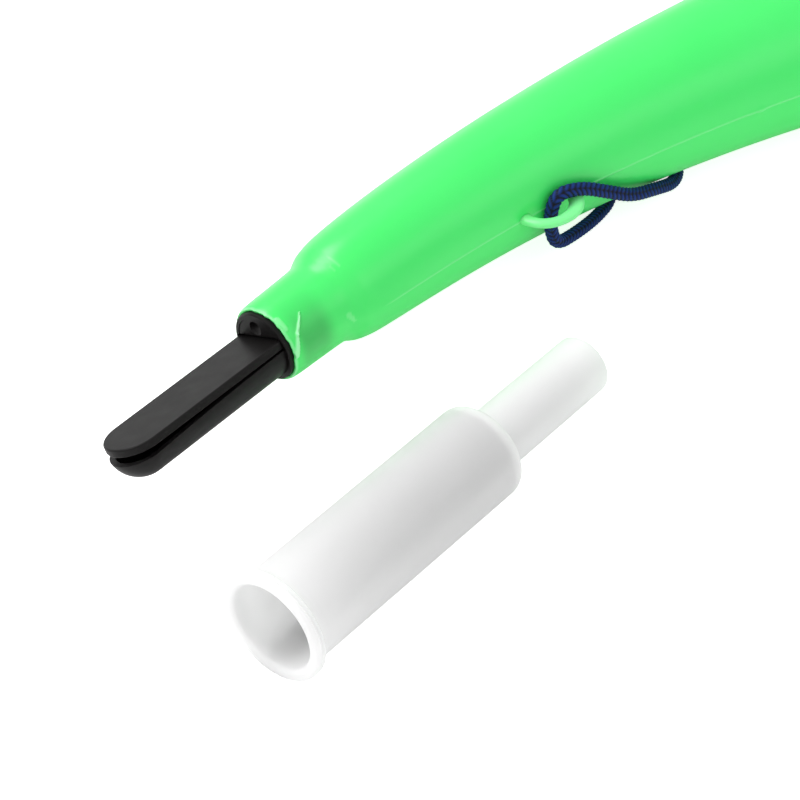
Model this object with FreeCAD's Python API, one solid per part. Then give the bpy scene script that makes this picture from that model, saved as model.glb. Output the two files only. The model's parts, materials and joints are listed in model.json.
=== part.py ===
import FreeCAD, Part
import math
import os

# Reed blow horn, in millimetres.
# The horn lies on a table (z = 0) with its neck towards -X and its bell towards +X. It curves in a plane that
# is nearly level, hollow side towards -Y. The reed stands out of the neck. The mouthpiece that covers it lies
# beside the neck, pulled off. A lanyard goes through the eye on the hollow side and under the horn. The horn
# rests on the lanyard and on the rim of its bell.

V = FreeCAD.Vector

# --- driving dimensions -------------------------------------------------------------------------------------

# Where the neck ends, and how the horn lies.
NECK_MOUTH = V(-133.75, 23.66, 17.93)
NECK_HEADING = 16.5      # degrees from +X towards +Y
NECK_PITCH = 1.53        # degrees, rising towards the bell
BEND_ROLL = 7.2          # degrees that the plane of the bend rises towards its hollow side

# Horn.
HORN_LENGTH = 310.0      # along the axis, neck mouth to bell rim
STRAIGHT_LENGTH = 20.0   # neck, before the bend starts
BEND_RADIUS = 407.0
SHELL_WALL = 1.3
NECK_BORE_R = 9.40
NECK_RIM_R = 9.95
NECK_R = 10.5
NECK_ROOT_R = 10.9
NECK_LENGTH = 17.0
NECK_START_SLOPE = 0.02  # how steeply the neck widens before the flare
NECK_END_SLOPE = 0.42    # how steeply the neck flares where the shoulder takes over
RIM_BULGE = V(0.12, NECK_RIM_R - 0.28, 0)    # (along the axis, radius) points of the neck's rounded rim
RIM_CREST = V(0.9, NECK_RIM_R + 0.2, 0)
RIM_LEAD = V(1.9, NECK_R - 0.14, 0)
RIM_END = V(3.2, NECK_R, 0)
BODY_PROFILE = [         # (distance along the axis, outer radius): shoulder, long cone, bell
    (20.0, 11.55), (23.0, 12.95), (28.0, 13.92), (36.0, 14.55), (48.0, 15.19),
    (75.0, 16.43), (105.0, 17.95), (140.0, 20.2), (175.0, 22.4), (215.0, 24.9),
    (250.0, 27.7), (280.0, 31.2), (298.0, 34.35), (308.4, 36.85),
]
BODY_START_R = BODY_PROFILE[0][1]
BELL_R = 38.0
LIP_BEAD_R = 1.6         # rolled rim of the bell

# Lanyard eye, a half ring in the plane of the bend.
EYE_STATION = 83.4
EYE_BAND_R = 1.4
EYE_RING_R = 7.5

# Reed.
PLUG_R = 9.35
PLUG_DEPTH = 13.0
PLUG_STANDOUT = 1.2
PLUG_TAPER_DEPTH = 0.5   # of the lead-in at the plug's inner end
PLUG_TAPER_LENGTH = 0.8
PLUG_EDGE = 0.35         # chamfer of the plug's outer edge
REED_ROLL = 26.5         # degrees that the tongue's flat leans from straight up towards +Y
TROUGH_R = 8.2
TROUGH_WALL = 1.5
TROUGH_REACH = 51.5
TROUGH_DROP = 1.8        # how far the trough's rim curves away from the tongue by its tip
TONGUE_WIDTH = 16.2
TONGUE_THICKNESS = 2.2
TONGUE_ROOT = 3.0        # length of the tongue inside the plug's face
TONGUE_LIFT = 0.4        # degrees that the tongue stands open at rest
TONGUE_ROOT_GAP = 0.35   # over the trough at the plug
TONGUE_REACH = 51.2
TONGUE_EDGE_R = 0.45
SLOT_HEIGHT = 2.9        # of the slot that the tongue's root lies in
SLOT_SIDE_GAP = 0.2
WEDGE_R = 8.1
WEDGE_GAP = 0.15
WEDGE_SET_BACK = 0.2
POCKET_GAP = 0.05        # round the wedge
DIMPLE_R = 2.4
DIMPLE_HEIGHT = 5.2
OVERCUT = 1.0            # how far a cut runs past the face that it opens

# Mouthpiece.
TUBE_R = 12.5
TUBE_LENGTH = 76.6
TUBE_BORE_R = 11.3
FLANGE_R = 14.5
FLANGE_THICKNESS = 2.0
FLANGE_ROOT = 3.2        # length of the ease behind the flange
STEM_R = 7.9
STEM_LENGTH = 38.6
STEM_BORE_R = 5.6
TUBE_END_WALL = 2.6
TUBE_END_ROUND = 2.0
RIM_EASE = 0.5           # of the sleeve's and flange's edges
TIP_EASE = 0.7
STEM_ROOT_EASE = 0.9
MOUTHPIECE_HEADING = 18.7
FLANGE_CENTRE = V(-177.07, -53.48, FLANGE_R + 0.04)

# Lanyard, a braided cord in one loop: from the knot under the horn, up through the eye, down its flank, under
# the horn again and into the hank.
CORD_D = 3.5
ARC_SHARE = 0.45         # of the shorter run at a corner that its arc takes up
TABLE_Z = 1.78           # height of the cord's middle where it lies on the table
LANYARD_ROUTE = [
    (16.0, 79.5, TABLE_Z), (4.0, 79.0, TABLE_Z), (-7.0, 72.5, TABLE_Z), (-12.0, 60.5, TABLE_Z),
    (-15.5, 48.5, TABLE_Z), (-21.0, 39.5, 1.9), (-30.5, 33.0, 4.6), (-40.5, 27.6, 8.0),
    (-48.8, 24.3, 10.4), (-51.2, 23.8, 17.0), (-51.2, 24.0, 23.2), (-48.6, 24.7, 27.2),
    (-41.0, 24.7, 25.6), (-33.0, 24.4, 20.8), (-25.2, 25.0, 15.6), (-15.5, 28.0, 11.5),
    (-5.5, 33.2, 5.2), (1.5, 41.0, TABLE_Z), (7.0, 52.5, TABLE_Z), (12.0, 61.5, TABLE_Z),
    (19.0, 65.6, TABLE_Z), (26.0, 66.2, TABLE_Z),
]
HANK_START = V(26.0, 64.0, 0.0)
HANK_SIZE = V(60.0, 19.6, 9.8)
HANK_ROUND = 3.4
TIE_WIDTH = 7.0
TIE_THICKNESS = 0.9
KNOT_LENGTH = 10.0
KNOT_WIDTH = 8.0
KNOT_HEIGHT = 7.0
KNOT_Y = 79.5
KNOT_ROUND = 3.0

os.makedirs("parts", exist_ok=True)


# --- small helpers ------------------------------------------------------------------------------------------

def unit(vector):
    return V(vector) / vector.Length


def revolved(points, full=360.0):
    """Solid of a closed (axial, radial) outline turned about the local X axis."""
    wire = Part.makePolygon([V(a, r, 0) for a, r in points] + [V(points[0][0], points[0][1], 0)])
    return Part.Face(wire).revolve(V(0, 0, 0), V(1, 0, 0), full)


def placed(shape, origin, x_axis, y_axis, z_axis):
    """Copy of a shape whose local axes become the given ones at the given origin."""
    matrix = FreeCAD.Matrix(
        x_axis.x, y_axis.x, z_axis.x, origin.x,
        x_axis.y, y_axis.y, z_axis.y, origin.y,
        x_axis.z, y_axis.z, z_axis.z, origin.z,
        0, 0, 0, 1)
    moved = shape.copy()
    moved.Placement = FreeCAD.Placement(matrix).multiply(shape.Placement)
    return moved


def save(name, shape):
    shape.exportStep("parts/" + name + ".step")


def directions(heading, pitch):
    """Unit vectors along a heading, level to its left, and upwards, for an axis with the given pitch."""
    turn = math.radians(heading)
    rise = math.radians(pitch)
    along = V(math.cos(turn) * math.cos(rise), math.sin(turn) * math.cos(rise), math.sin(rise))
    left = V(-math.sin(turn), math.cos(turn), 0)
    return along, left, along.cross(left)


# --- horn ---------------------------------------------------------------------------------------------------

NECK_ALONG, NECK_LEFT, NECK_UP = directions(NECK_HEADING, NECK_PITCH)
ROLL = math.radians(BEND_ROLL)
BEND_FAR = NECK_LEFT * math.cos(ROLL) - NECK_UP * math.sin(ROLL)


def horn_frame(station):
    """Point on the horn's axis with its directions: along, away from the hollow side, and across the bend."""
    if station <= STRAIGHT_LENGTH:
        point = NECK_MOUTH + NECK_ALONG * station
        return point, NECK_ALONG, BEND_FAR, NECK_ALONG.cross(BEND_FAR)
    turn = (station - STRAIGHT_LENGTH) / BEND_RADIUS
    point = (NECK_MOUTH + NECK_ALONG * (STRAIGHT_LENGTH + BEND_RADIUS * math.sin(turn))
             - BEND_FAR * (BEND_RADIUS * (1 - math.cos(turn))))
    along = NECK_ALONG * math.cos(turn) - BEND_FAR * math.sin(turn)
    far = BEND_FAR * math.cos(turn) + NECK_ALONG * math.sin(turn)
    return point, along, far, along.cross(far)


def hoop(station, radius):
    """Circle round the horn's axis, its start always on the far side."""
    circle = Part.Edge(Part.Circle(V(0, 0, 0), V(1, 0, 0), radius))
    point, along, far, across = horn_frame(station)
    start = circle.Vertexes[0].Point
    spin = math.degrees(math.atan2(start.z, start.y))
    circle.rotate(V(0, 0, 0), V(1, 0, 0), -spin)
    return Part.Wire(placed(circle, point, along, far, across))


def smooth_loft(hoops):
    solid, ruled, closed, degree = True, False, False, 5
    return Part.makeLoft(hoops, solid, ruled, closed, degree)


def body_outside():
    """Solid inside the body's outer surface."""
    return smooth_loft([hoop(s, r) for s, r in BODY_PROFILE])


def body_inside():
    """The hollow: the neck's bore opening out to run a wall's thickness inside the body."""
    hoops = [hoop(STRAIGHT_LENGTH, NECK_BORE_R)]
    hoops += [hoop(s, r - SHELL_WALL) for s, r in BODY_PROFILE[1:]]
    return smooth_loft(hoops)


def neck():
    """Turned neck, rounded at its rim and flaring where it meets the shoulder."""
    outer = Part.BSplineCurve()
    outer.interpolate([V(NECK_LENGTH, NECK_ROOT_R, 0), V(STRAIGHT_LENGTH, BODY_START_R, 0)],
                      InitialTangent=V(1, NECK_START_SLOPE, 0), FinalTangent=V(1, NECK_END_SLOPE, 0))
    rim = Part.Arc(V(0, NECK_BORE_R, 0), RIM_BULGE, RIM_CREST)
    lead = Part.Arc(RIM_CREST, RIM_LEAD, RIM_END)
    edges = [rim.toShape(), lead.toShape(),
             Part.makeLine(RIM_END, V(NECK_LENGTH, NECK_ROOT_R, 0)),
             outer.toShape(),
             Part.makeLine(V(STRAIGHT_LENGTH, BODY_START_R, 0), V(STRAIGHT_LENGTH, NECK_BORE_R, 0)),
             Part.makeLine(V(STRAIGHT_LENGTH, NECK_BORE_R, 0), V(0, NECK_BORE_R, 0))]
    solid = Part.Face(Part.Wire(edges)).revolve(V(0, 0, 0), V(1, 0, 0), 360)
    return placed(solid, NECK_MOUTH, NECK_ALONG, BEND_FAR, NECK_ALONG.cross(BEND_FAR))


def profile_radius(station):
    """Outer radius of the body at a station, straight between the profile's points."""
    for (s0, r0), (s1, r1) in zip(BODY_PROFILE, BODY_PROFILE[1:]):
        if s0 <= station <= s1:
            return r0 + (r1 - r0) * (station - s0) / (s1 - s0)
    raise ValueError("station outside the body")


def lip_bead():
    """Rolled rim of the bell."""
    bead_station = HORN_LENGTH - LIP_BEAD_R
    point, along, far, across = horn_frame(bead_station)
    bead = Part.makeTorus(BELL_R - LIP_BEAD_R, LIP_BEAD_R)
    return placed(bead, point, far, across, along)


def lanyard_eye():
    """Half ring that stands out of the hollow side, in the plane of the bend."""
    point, along, far, across = horn_frame(EYE_STATION)
    base = point - far * (profile_radius(EYE_STATION) - SHELL_WALL / 2)
    section = Part.Face(Part.Wire(Part.Edge(Part.Circle(base + along * EYE_RING_R, along.cross(across),
                                                        EYE_BAND_R))))
    return section.revolve(base, across * -1, 180)


def horn_shell():
    body = body_outside().cut(body_inside())
    return body.fuse(lip_bead()).fuse(lanyard_eye()).fuse(neck())


# --- reed ---------------------------------------------------------------------------------------------------

REED_OUT = NECK_ALONG * -1
LEAN = math.radians(REED_ROLL)
REED_FLAT = NECK_UP * math.cos(LEAN) + NECK_LEFT * math.sin(LEAN)
REED_ACROSS = REED_FLAT.cross(REED_OUT)


def in_reed_frame(shape):
    """Local x out of the neck, z off the tongue's flat."""
    return placed(shape, NECK_MOUTH, REED_OUT, REED_ACROSS, REED_FLAT)


def round_ended_bar(radius, start, reach):
    """Bar of round section along local x whose far end is a half ball."""
    straight_end = reach - TROUGH_R
    bar = Part.makeCylinder(radius, straight_end - start, V(start, 0, 0), V(1, 0, 0))
    return bar.fuse(Part.makeSphere(radius, V(straight_end, 0, 0)))


def lower_half(shape):
    block = 200.0
    return shape.common(Part.makeBox(block, block, block / 2, V(-block / 2, -block / 2, -block / 2)))


def above_rim():
    """Everything over the trough's rim, which curves gently down to the tip."""
    tip = V(TROUGH_REACH + 2 * OVERCUT, 0, -TROUGH_DROP)
    middle = V(tip.x / 2, 0, -TROUGH_DROP / 4)
    rim = Part.Arc(V(0, 0, 0), middle, tip).toShape()
    top = 30.0
    sides = Part.makePolygon([tip, V(tip.x, 0, top), V(0, 0, top), V(0, 0, 0)])
    face = Part.Face(Part.Wire([rim] + sides.Edges))
    face.translate(V(0, -top, 0))
    return face.extrude(V(0, 2 * top, 0))


def reed_trough():
    """Collared plug and half-round trough in one piece, open along the top and through the plug."""
    plug = revolved([(-PLUG_DEPTH, 0), (-PLUG_DEPTH, PLUG_R - PLUG_TAPER_DEPTH),
                     (-PLUG_DEPTH + PLUG_TAPER_LENGTH, PLUG_R), (PLUG_STANDOUT - PLUG_EDGE, PLUG_R),
                     (PLUG_STANDOUT, PLUG_R - PLUG_EDGE), (PLUG_STANDOUT, 0)])
    trough = round_ended_bar(TROUGH_R, 0.0, TROUGH_REACH).cut(above_rim())
    back = -PLUG_DEPTH - OVERCUT
    through = PLUG_STANDOUT + OVERCUT - back
    channel = lower_half(round_ended_bar(TROUGH_R - TROUGH_WALL, back, TROUGH_REACH))
    slot_width = TONGUE_WIDTH + 2 * SLOT_SIDE_GAP
    slot = Part.makeBox(through, slot_width, SLOT_HEIGHT, V(back, -slot_width / 2, 0))
    pocket = Part.makeCylinder(WEDGE_R + POCKET_GAP, through, V(back, 0, 0), V(1, 0, 0))
    pocket = pocket.cut(lower_half(pocket))
    return in_reed_frame(plug.fuse(trough).cut(channel).cut(slot).cut(pocket).removeSplitter())


def reed_tongue():
    """Thick flat strip with a round tip, standing slightly open over the trough."""
    tip_r = TONGUE_WIDTH / 2
    strip = Part.makeBox(TONGUE_REACH - tip_r + TONGUE_ROOT, TONGUE_WIDTH, TONGUE_THICKNESS,
                         V(-TONGUE_ROOT, -tip_r, 0))
    tip = Part.makeCylinder(tip_r, TONGUE_THICKNESS, V(TONGUE_REACH - tip_r, 0, 0))
    tongue = strip.fuse(tip).removeSplitter()
    rims = [edge for edge in tongue.Edges if abs(edge.BoundBox.ZLength) < 1e-6 and edge.BoundBox.XMax > 1]
    tongue = tongue.makeFillet(TONGUE_EDGE_R, rims)
    tongue.rotate(V(0, 0, 0), V(0, 1, 0), -TONGUE_LIFT)
    tongue.translate(V(0, 0, TONGUE_ROOT_GAP))
    return in_reed_frame(tongue)


def reed_wedge():
    """Half-moon that fills the plug over the tongue, with a dimple in its face."""
    length = PLUG_DEPTH + PLUG_STANDOUT - WEDGE_SET_BACK
    bar = Part.makeCylinder(WEDGE_R, length, V(-PLUG_DEPTH, 0, 0), V(1, 0, 0))
    below = 30.0
    under = Part.makeBox(2 * below, 2 * below, below + SLOT_HEIGHT + WEDGE_GAP, V(-below, -below, -below))
    dimple = Part.makeSphere(DIMPLE_R, V(PLUG_STANDOUT + DIMPLE_R / 2, 0, DIMPLE_HEIGHT))
    return in_reed_frame(bar.cut(under).cut(dimple))


# --- mouthpiece ---------------------------------------------------------------------------------------------

def mouthpiece():
    """Flanged sleeve that goes over the neck, with a narrower stem for the lips."""
    pitch = -math.degrees(math.asin((FLANGE_R - TUBE_R) / TUBE_LENGTH))
    along, left, up = directions(MOUTHPIECE_HEADING, pitch)
    total = TUBE_LENGTH + STEM_LENGTH
    floor = TUBE_LENGTH - TUBE_END_WALL
    corner = TUBE_END_ROUND * (1 - math.sqrt(0.5))
    outline = [
        (0.0, TUBE_BORE_R + RIM_EASE), (RIM_EASE, TUBE_BORE_R),
        (floor - TUBE_END_ROUND, TUBE_BORE_R), (floor, TUBE_BORE_R - TUBE_END_ROUND),
        (floor, STEM_BORE_R), (total - TIP_EASE, STEM_BORE_R), (total, STEM_BORE_R + TIP_EASE),
        (total, STEM_R - TIP_EASE), (total - TIP_EASE, STEM_R),
        (TUBE_LENGTH + STEM_ROOT_EASE, STEM_R), (TUBE_LENGTH, STEM_R + STEM_ROOT_EASE),
        (TUBE_LENGTH, TUBE_R - TUBE_END_ROUND), (TUBE_LENGTH - corner, TUBE_R - corner),
        (TUBE_LENGTH - TUBE_END_ROUND, TUBE_R),
        (FLANGE_THICKNESS + FLANGE_ROOT, TUBE_R), (FLANGE_THICKNESS + RIM_EASE, TUBE_R + RIM_EASE),
        (FLANGE_THICKNESS, FLANGE_R - RIM_EASE), (FLANGE_THICKNESS - RIM_EASE, FLANGE_R),
        (RIM_EASE, FLANGE_R), (0.0, FLANGE_R - RIM_EASE),
    ]
    return placed(revolved(outline), FLANGE_CENTRE, along, left, up)


# --- lanyard ------------------------------------------------------------------------------------------------

def cord_path(points):
    """Straight runs joined by tangent arcs, each as large as its two runs allow."""
    edges = []
    start = points[0]
    radii = []
    for before, corner, after in zip(points, points[1:], points[2:]):
        run_in = corner - before
        run_out = after - corner
        half_turn = run_in.getAngle(run_out) / 2
        cut = ARC_SHARE * min(run_in.Length, run_out.Length)
        radii.append(cut / math.tan(half_turn))
        enter = corner - unit(run_in) * cut
        leave = corner + unit(run_out) * cut
        inward = unit(unit(run_out) - unit(run_in))
        bulge = radii[-1] * (1 / math.cos(half_turn) - 1)
        edges.append(Part.makeLine(start, enter))
        edges.append(Part.Arc(enter, corner + inward * bulge, leave).toShape())
        start = leave
    edges.append(Part.makeLine(start, points[-1]))
    print("cord arc radii:", ", ".join("%.1f" % radius for radius in radii))
    return Part.Wire(edges)


def lanyard_run():
    """The cord from the knot to the hank."""
    points = [V(*point) for point in LANYARD_ROUTE]
    path = cord_path(points)
    section = Part.Wire(Part.Edge(Part.Circle(points[0], points[1] - points[0], CORD_D / 2)))
    tube = path.makePipeShell([section], True, False)
    expected = math.pi * CORD_D ** 2 / 4 * path.Length
    print("cord length %.1f, volume %.1f, section times length %.1f" % (path.Length, tube.Volume, expected))
    return tube


def rounded_bar(start, size, radius):
    """Bar along X with its long edges rounded."""
    bar = Part.makeBox(size.x, size.y, size.z, start)
    long_edges = [edge for edge in bar.Edges if edge.BoundBox.XLength > size.x / 2]
    return bar.makeFillet(radius, long_edges)


def hank_waist(inset):
    """The middle of the hank, where the tie pulls it in."""
    start = HANK_START + V((HANK_SIZE.x - TIE_WIDTH) / 2, inset, inset)
    size = V(TIE_WIDTH, HANK_SIZE.y - 2 * inset, HANK_SIZE.z - 2 * inset)
    return rounded_bar(start, size, HANK_ROUND - inset)


def hank_tie():
    return hank_waist(0.0).cut(hank_waist(TIE_THICKNESS))


def lanyard_hank():
    """The rest of the cord folded to and fro, pulled in at the middle by its tie."""
    return rounded_bar(HANK_START, HANK_SIZE, HANK_ROUND).cut(hank_tie())


def lanyard_knot():
    """The knot that joins the cord's two ends, against the end of the hank."""
    start = V(HANK_START.x - KNOT_LENGTH, KNOT_Y - KNOT_WIDTH / 2, 0.0)
    return rounded_bar(start, V(KNOT_LENGTH, KNOT_WIDTH, KNOT_HEIGHT), KNOT_ROUND)


# --- build --------------------------------------------------------------------------------------------------

save("horn_shell", horn_shell())
save("reed_trough", reed_trough())
save("reed_tongue", reed_tongue())
save("reed_wedge", reed_wedge())
save("mouthpiece", mouthpiece())
save("lanyard_run", lanyard_run())
save("lanyard_hank", lanyard_hank())
save("hank_tie", hank_tie())
save("lanyard_knot", lanyard_knot())
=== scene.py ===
"""A reed blow horn with its mouthpiece pulled off and its lanyard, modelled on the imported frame."""

import json
import math

import bmesh
import bpy
from bpy.props import FloatProperty, FloatVectorProperty, IntProperty, PointerProperty
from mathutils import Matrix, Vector


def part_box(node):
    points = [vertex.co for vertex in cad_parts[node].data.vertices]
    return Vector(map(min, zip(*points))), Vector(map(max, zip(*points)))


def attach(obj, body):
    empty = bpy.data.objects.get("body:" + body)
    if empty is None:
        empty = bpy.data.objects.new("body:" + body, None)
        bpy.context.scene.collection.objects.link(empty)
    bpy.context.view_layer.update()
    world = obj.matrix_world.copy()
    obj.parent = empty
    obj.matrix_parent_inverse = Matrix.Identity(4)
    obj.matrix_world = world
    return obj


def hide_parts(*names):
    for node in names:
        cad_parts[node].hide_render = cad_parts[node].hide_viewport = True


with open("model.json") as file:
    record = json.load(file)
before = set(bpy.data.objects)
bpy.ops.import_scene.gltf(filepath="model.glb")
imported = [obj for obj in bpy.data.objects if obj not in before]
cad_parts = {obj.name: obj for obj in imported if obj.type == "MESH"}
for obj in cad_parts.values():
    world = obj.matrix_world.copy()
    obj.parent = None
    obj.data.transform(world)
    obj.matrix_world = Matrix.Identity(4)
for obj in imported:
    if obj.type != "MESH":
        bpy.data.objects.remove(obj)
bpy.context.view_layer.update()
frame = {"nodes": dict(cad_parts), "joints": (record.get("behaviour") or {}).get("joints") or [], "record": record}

bl_info = {
    "name": "Reed Blow Horn",
    "version": (1, 0, 0),
    "blender": (4, 5, 0),
    "location": "View3D > Sidebar > Horn",
    "description": "Models a plastic reed blow horn, its reed, mouthpiece and lanyard",
    "category": "Object",
}

MM = 0.001
MERGE_GAP = 0.0001 * MM
TINY = 1e-12
WHITE = (1.0, 1.0, 1.0, 1.0)
JOINTS = {joint["name"]: joint for joint in frame["joints"]}
MOUNTS = {mount["name"]: mount for mount in frame["record"]["mounts"]}


def linear(code):
    """Linear RGB of an sRGB hex colour."""
    parts = [int(code[i:i + 2], 16) / 255 for i in (0, 2, 4)]
    return [p / 12.92 if p <= 0.04045 else ((p + 0.055) / 1.055) ** 2.4 for p in parts]


# --- how the horn lies --------------------------------------------------------------------------------------

REED_OUT = Vector(JOINTS["reed_pull"]["axis"]).normalized()
REED_ACROSS = Vector(JOINTS["tongue_flex"]["axis"]).normalized()
REED_FLAT = REED_OUT.cross(REED_ACROSS)
TONGUE_ROOT_GAP = 0.35 * MM
NECK_MOUTH = Vector(JOINTS["tongue_flex"]["pos_m"]) - REED_FLAT * TONGUE_ROOT_GAP

NECK_ALONG = -REED_OUT
NECK_LEFT = Vector((0, 0, 1)).cross(NECK_ALONG).normalized()
NECK_UP = NECK_ALONG.cross(NECK_LEFT)
BEND_ROLL = math.radians(7.2)
BEND_FAR = NECK_LEFT * math.cos(BEND_ROLL) - NECK_UP * math.sin(BEND_ROLL)
STRAIGHT_LENGTH = 20.0 * MM
BEND_RADIUS = 407.0 * MM


def horn_frame(station):
    """Point on the horn's axis with its directions: along, away from the hollow side, and across the bend."""
    if station <= STRAIGHT_LENGTH:
        return NECK_MOUTH + NECK_ALONG * station, NECK_ALONG, BEND_FAR, NECK_ALONG.cross(BEND_FAR)
    turn = (station - STRAIGHT_LENGTH) / BEND_RADIUS
    point = (NECK_MOUTH + NECK_ALONG * (STRAIGHT_LENGTH + BEND_RADIUS * math.sin(turn))
             - BEND_FAR * (BEND_RADIUS * (1 - math.cos(turn))))
    along = NECK_ALONG * math.cos(turn) - BEND_FAR * math.sin(turn)
    far = BEND_FAR * math.cos(turn) + NECK_ALONG * math.sin(turn)
    return point, along, far, along.cross(far)


# --- what a user would change -------------------------------------------------------------------------------

def length_property(name, description, default):
    return FloatProperty(name=name, description=description, default=default, min=0.0, unit="LENGTH")


def colour_property(name, description, code):
    return FloatVectorProperty(name=name, description=description, default=linear(code), size=3,
                               min=0.0, max=1.0, subtype="COLOR")


class HornSizes(bpy.types.PropertyGroup):
    """Sizes of the horn's shell."""
    wall: length_property("Wall", "Thickness of the blown wall", 1.3 * MM)
    seam_height: length_property("Seam height", "How far the parting line stands out", 0.16 * MM)
    seam_width: length_property("Seam width", "Half the width of the parting line", 0.26 * MM)
    eye_station: length_property("Eye station", "Distance of the eye from the neck's mouth", 83.4 * MM)
    eye_radius: length_property("Eye radius", "Radius of the eye's half ring", 7.5 * MM)
    eye_band: length_property("Eye band", "Radius of the eye's round bar", 1.4 * MM)


class LanyardSizes(bpy.types.PropertyGroup):
    """Sizes of the braided cord."""
    diameter: length_property("Diameter", "Diameter of the cord", 3.5 * MM)
    stitch: length_property("Stitch", "Length of one chevron of the braid", 1.55 * MM)
    relief: length_property("Relief", "Depth between the braid's strands", 0.42 * MM)
    step: length_property("Step", "Distance between rings of the cord's mesh", 0.26 * MM)
    sides: IntProperty(name="Sides", description="Points round the cord", default=24, min=8)


class Finishes(bpy.types.PropertyGroup):
    """Colours of the materials."""
    green: colour_property("Green", "Blow-moulded polyethylene", "3AEA68")
    # painted shade: the neck's darker green where the plug's shadow shows through the wall, darkest on the side
    # away from the light
    green_shaded: colour_property("Green over plug", "The wall where the black plug shows through", "2FA64C")
    # pale green of the thin flash and scars, and of the painted highlights glinting on the shoulder's crease
    green_flash_and_glint: colour_property("Flash", "Thin flash and scars of the mould", "9CF8AE")
    white: colour_property("White", "Natural polyethylene of the mouthpiece", "F2F2F2")
    black: colour_property("Black", "Moulded polystyrene of the reed", "0B0909")
    navy: colour_property("Navy", "Polyester yarn of the cord", "0C2A6C")
    # painted shade: darker navy down between the strands, where shade falls
    navy_painted_gap_shade: colour_property("Navy gaps", "Yarn down between the strands", "020818")
    rubber: colour_property("Tie", "Rubber of the hank's tie", "2A2A2C")


# --- materials ----------------------------------------------------------------------------------------------

def add_node(tree, kind, values=None, links=None, **settings):
    """Adds a node with its settings, socket values and links, and returns it."""
    node = tree.nodes.new(kind)
    for name, value in settings.items():
        setattr(node, name, value)
    for socket, value in (values or {}).items():
        node.inputs[socket].default_value = value
    for socket, source in (links or {}).items():
        tree.links.new(source, node.inputs[socket])
    return node


def new_material(name):
    """Empty material with a surface shader; returns material, tree and shader."""
    material = bpy.data.materials.new(name)
    material.use_nodes = True
    tree = material.node_tree
    tree.nodes.clear()
    shader = add_node(tree, "ShaderNodeBsdfPrincipled")
    add_node(tree, "ShaderNodeOutputMaterial", links={"Surface": shader.outputs["BSDF"]})
    return material, tree, shader


def set_shader(shader, values):
    for socket, value in values.items():
        shader.inputs[socket].default_value = value


def rgba(colour):
    return (*colour, 1.0)


def grain(tree, shader, grain_size, depth, detail=3.0):
    """Fine moulded grain: a bump from noise whose features are grain_size across."""
    where = add_node(tree, "ShaderNodeTexCoord")
    noise = add_node(tree, "ShaderNodeTexNoise", {"Scale": 1 / grain_size, "Detail": detail},
                     {"Vector": where.outputs["Object"]})
    bump = add_node(tree, "ShaderNodeBump", {"Strength": 1.0, "Distance": depth},
                    {"Height": noise.outputs["Fac"]})
    tree.links.new(bump.outputs["Normal"], shader.inputs["Normal"])
    return where, noise


def varied(tree, shader, where, size, low, high):
    """Roughness that wanders between two values over patches of the given size."""
    noise = add_node(tree, "ShaderNodeTexNoise", {"Scale": 1 / size, "Detail": 2.0},
                     {"Vector": where.outputs["Object"]})
    spread = add_node(tree, "ShaderNodeMapRange", {"To Min": low, "To Max": high},
                      {"Value": noise.outputs["Fac"]})
    tree.links.new(spread.outputs["Result"], shader.inputs["Roughness"])


def mixed(tree, factor, first, second):
    """Colour that goes from first to second with factor; each is a colour or a socket."""
    mix = add_node(tree, "ShaderNodeMix", data_type="RGBA")
    tree.links.new(factor, mix.inputs["Factor"])
    for socket, colour in ((mix.inputs[6], first), (mix.inputs[7], second)):
        if isinstance(colour, bpy.types.NodeSocket):
            tree.links.new(colour, socket)
        else:
            socket.default_value = rgba(colour)
    return mix.outputs[2]


def green_polyethylene(finishes):
    """Blow-moulded HDPE: glossy, a little translucent, faintly uneven as the mould leaves it, with painted shade
    over the plug and painted highlights on the shoulder.
    """
    material, tree, shader = new_material("green_blown_polyethylene")
    where, _ = grain(tree, shader, 9.0 * MM, 0.02 * MM, detail=1.0)
    varied(tree, shader, where, 14 * MM, 0.26, 0.38)
    plug = add_node(tree, "ShaderNodeAttribute", attribute_name="plug_shade")
    flash_and_glint = add_node(tree, "ShaderNodeAttribute", attribute_name="flash_and_glint")
    clouds = add_node(tree, "ShaderNodeTexNoise", {"Scale": 1 / (30 * MM), "Detail": 2.0},
                      {"Vector": where.outputs["Object"]})
    thin = add_node(tree, "ShaderNodeMapRange", {"To Min": 0.0, "To Max": 0.07},
                    {"Value": clouds.outputs["Fac"]})
    body = mixed(tree, thin.outputs["Result"], finishes.green, finishes.green_flash_and_glint)
    # painted shade: darker green where the plug's shadow is seen through the neck's wall
    shaded = mixed(tree, plug.outputs["Fac"], body, finishes.green_shaded)
    # paler green of the mould's flash, seam and scars, and painted highlights on the shoulder's crease
    colour = mixed(tree, flash_and_glint.outputs["Fac"], shaded, finishes.green_flash_and_glint)
    tree.links.new(colour, shader.inputs["Base Color"])
    set_shader(shader, {"IOR": 1.54, "Specular IOR Level": 0.5, "Subsurface Weight": 0.25,
                        "Subsurface Scale": 2.0 * MM, "Subsurface Radius": (0.35, 1.0, 0.45)})
    return material


def white_polyethylene(finishes):
    """Natural injection-moulded LDPE: waxy, translucent at its edges, with a soft sheen."""
    material, tree, shader = new_material("white_moulded_polyethylene")
    where, _ = grain(tree, shader, 1.1 * MM, 0.008 * MM)
    varied(tree, shader, where, 9 * MM, 0.34, 0.46)
    clouds = add_node(tree, "ShaderNodeTexNoise", {"Scale": 1 / (22 * MM), "Detail": 2.0},
                      {"Vector": where.outputs["Object"]})
    darker = [c * 0.94 for c in finishes.white]
    tree.links.new(mixed(tree, clouds.outputs["Fac"], finishes.white, darker), shader.inputs["Base Color"])
    set_shader(shader, {"IOR": 1.51, "Subsurface Weight": 0.85, "Subsurface Scale": 9.0 * MM,
                        "Subsurface Radius": (1.0, 1.0, 1.0)})
    return material


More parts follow.
